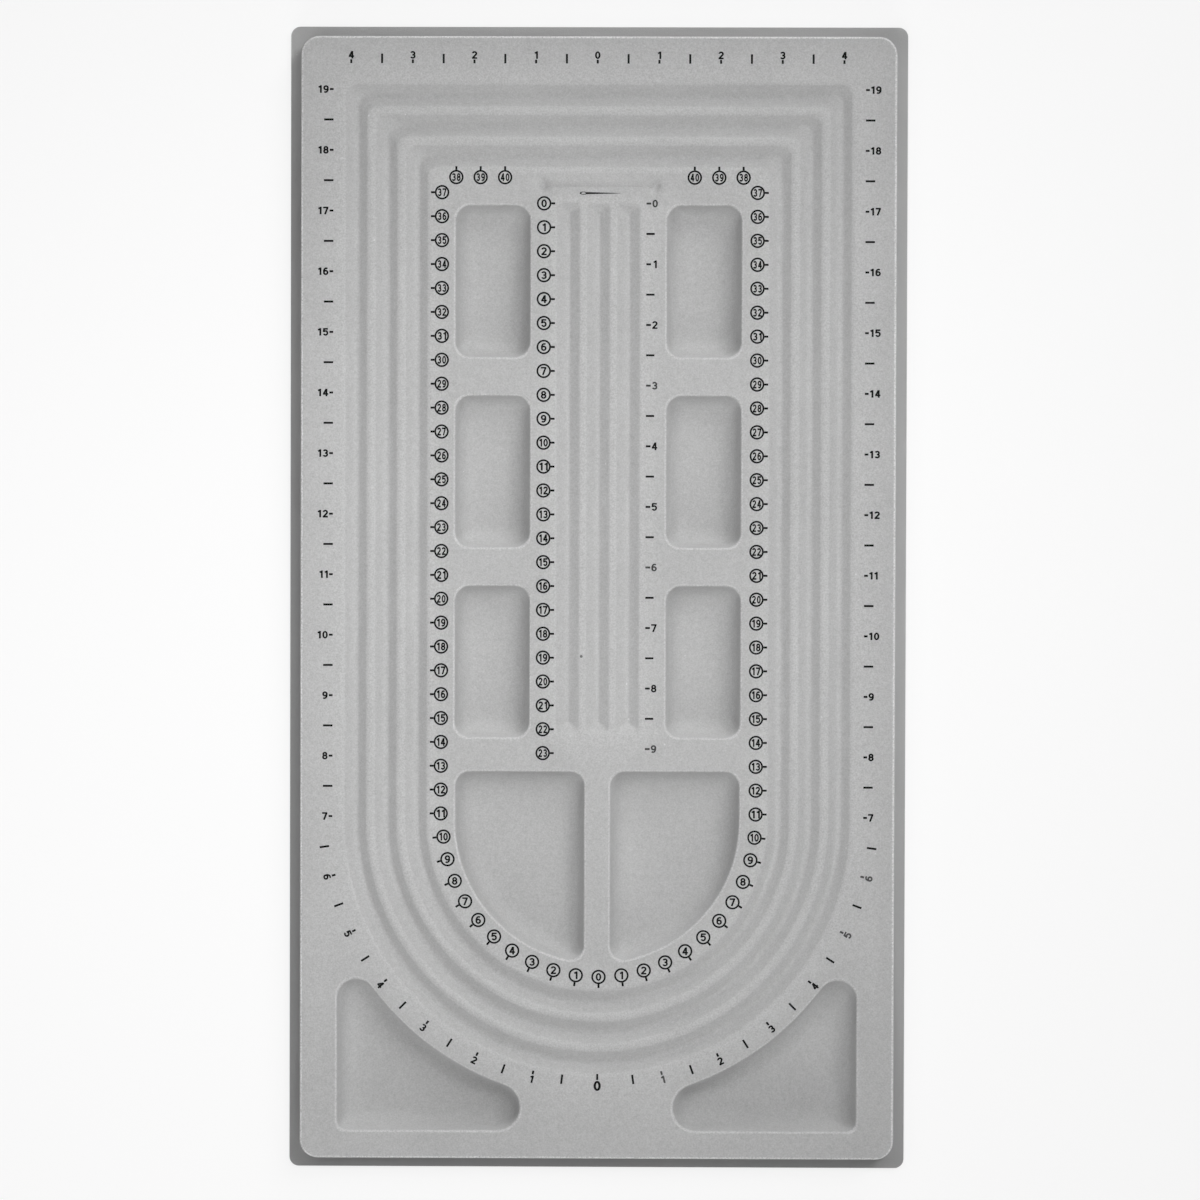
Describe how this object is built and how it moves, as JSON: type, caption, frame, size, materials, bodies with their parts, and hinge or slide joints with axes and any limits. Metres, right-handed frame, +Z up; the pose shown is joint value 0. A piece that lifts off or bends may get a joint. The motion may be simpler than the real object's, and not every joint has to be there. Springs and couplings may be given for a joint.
{
  "type": "bead board",
  "caption": "Flat flocked plastic board with concentric arched bead channels, straight centre channels, rectangular and curved trays, and printed length scales, for laying out beads.",
  "frame": {"origin": "middle of the board's outline, on the underside of its flange", "axes": "+X to the right and +Y towards the square end of the channels as the scales read, +Z up"},
  "size_m": [0.2606, 0.4826, 0.0149],
  "materials": {
    "sheet": "formed, semi-matt",
    "flock": "short flocked pile"
  },
  "bodies": {
    "root": {"formed_sheet": "sheet", "flock_layer": "flock"}
  },
  "joints": []
}
